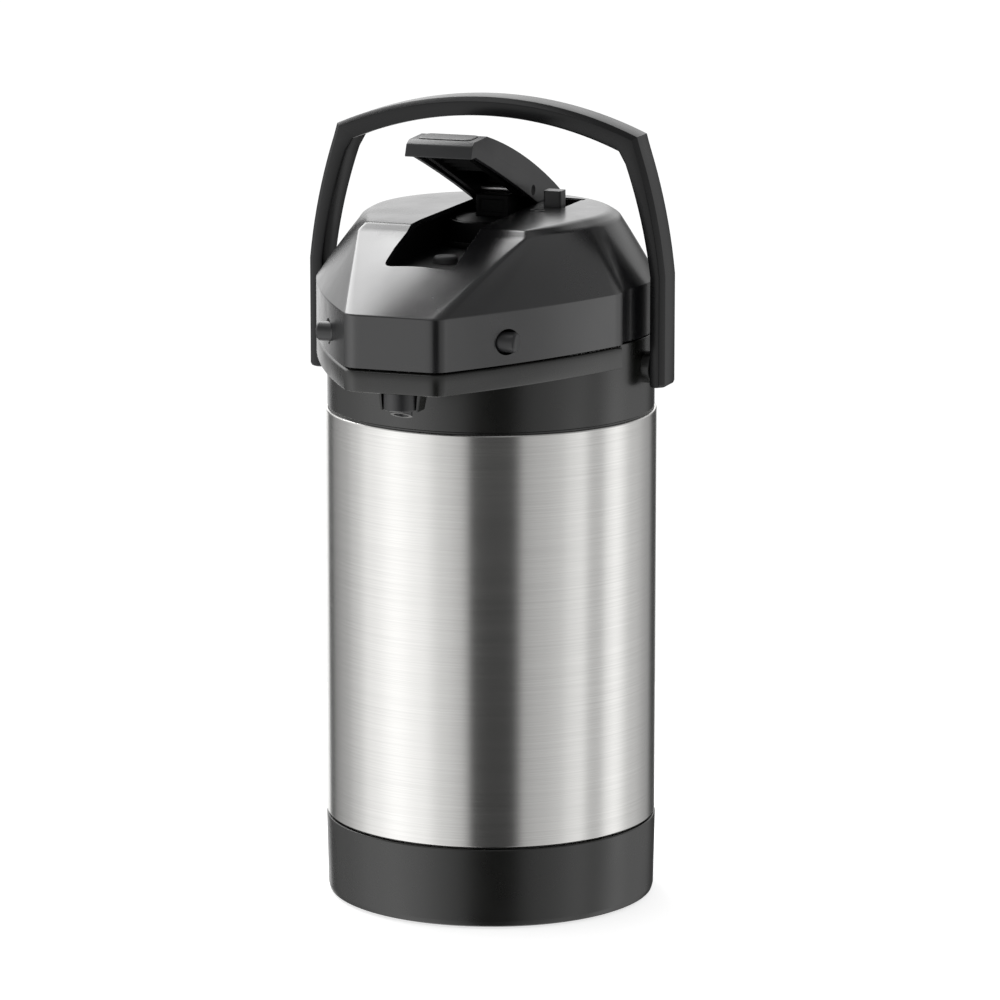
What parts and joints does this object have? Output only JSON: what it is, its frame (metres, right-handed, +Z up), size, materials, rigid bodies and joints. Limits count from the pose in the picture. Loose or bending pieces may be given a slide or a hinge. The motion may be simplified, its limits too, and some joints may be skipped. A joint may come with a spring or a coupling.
{
  "type": "pump pot",
  "caption": "Steel vacuum pump pot with a black base and collar, a beaked pump head with a raised press lever, side release buttons and a swinging carrying handle.",
  "frame": {"origin": "centre of the underside of the base, on the pot's axis", "axes": "+Z up along the pot's axis, -Y towards the spout, +X to the right seen from the spout"},
  "size_m": [0.187, 0.2198, 0.4029],
  "materials": {
    "jacket_steel": "brushed round the body, satin",
    "bottle_steel": "dull drawn steel",
    "fastener_steel": "zinc-plated steel",
    "base_plastic": "fine-textured black moulding",
    "head_plastic": "satin black moulding",
    "lever_plastic": "satin dark grey moulding",
    "handle_plastic": "satin dark grey moulding",
    "inner_plastic": "unpolished black moulding",
    "pale_plastic": "natural food-grade moulding",
    "seal_rubber": "soft silicone rubber",
    "pad_rubber": "non-slip rubber"
  },
  "bodies": {
    "pot": {"base_pad": "pad_rubber", "base_cup": "base_plastic", "base_screws": "fastener_steel", "bottle_cushion": "pad_rubber", "outer_jacket": "jacket_steel", "bottle_outer": "bottle_steel", "bottle_inner": "bottle_steel", "neck_seal": "seal_rubber", "collar": "base_plastic", "spout_guard": "base_plastic", "pivot_pin_left": "inner_plastic", "pivot_pin_right": "inner_plastic", "head_cover": "head_plastic", "lever_well": "inner_plastic", "pump_base": "inner_plastic", "bellows": "seal_rubber", "return_spring": "fastener_steel", "stopper": "pale_plastic", "stopper_seal": "seal_rubber", "air_valve": "seal_rubber", "dip_tube": "pale_plastic", "outlet_pipe": "pale_plastic", "nozzle": "head_plastic", "lid_hinge_pin": "fastener_steel", "lever_hinge_pin": "fastener_steel", "lock_rail": "inner_plastic", "head_screws": "fastener_steel", "spring_block": "inner_plastic", "button_guide_left": "inner_plastic", "button_guide_right": "inner_plastic", "button_spring_left": "fastener_steel", "button_spring_right": "fastener_steel"},
    "handle": {"handle": "handle_plastic"},
    "lever": {"lever": "lever_plastic", "lever_frame": "inner_plastic", "link_pin": "fastener_steel"},
    "plunger": {"pusher": "inner_plastic", "plunger_cap": "head_plastic"},
    "lock": {"lock_slider": "lever_plastic"},
    "button_left": {"button_left": "lever_plastic", "latch_left": "inner_plastic"},
    "button_right": {"button_right": "lever_plastic", "latch_right": "inner_plastic"}
  },
  "joints": [
    {"name": "handle_swing", "type": "hinge", "parent": "pot", "child": "handle", "pos_m": [0, 0, 0.272], "axis": [1, 0, 0], "range_deg": [-120, 10]},
    {"name": "lever_press", "type": "hinge", "parent": "pot", "child": "lever", "pos_m": [0, 0.057, 0.342], "axis": [1, 0, 0], "range_deg": [0, 21.5], "stiffness_Nm_per_rad": 2, "springref_deg": -11.46},
    {"name": "plunger_slide", "type": "slide", "parent": "pot", "child": "plunger", "axis": [0, 0, -1], "range_m": [0, 0.0168], "deforming": ["bellows", "return_spring"]},
    {"name": "lock_slide", "type": "slide", "parent": "pot", "child": "lock", "axis": [0, 1, 0], "range_m": [0, 0.016]},
    {"name": "button_left_press", "type": "slide", "parent": "pot", "child": "button_left", "axis": [1, 0, 0], "range_m": [0, 0.005], "stiffness_N_per_m": 300, "springref_m": -0.003, "deforming": ["button_spring_left"]},
    {"name": "button_right_press", "type": "slide", "parent": "pot", "child": "button_right", "axis": [-1, 0, 0], "range_m": [0, 0.005], "stiffness_N_per_m": 300, "springref_m": -0.003, "deforming": ["button_spring_right"]}
  ],
  "couplings": [
    {"joint": "plunger_slide", "follows": "lever_press", "m_per_rad": 0.0439}
  ]
}
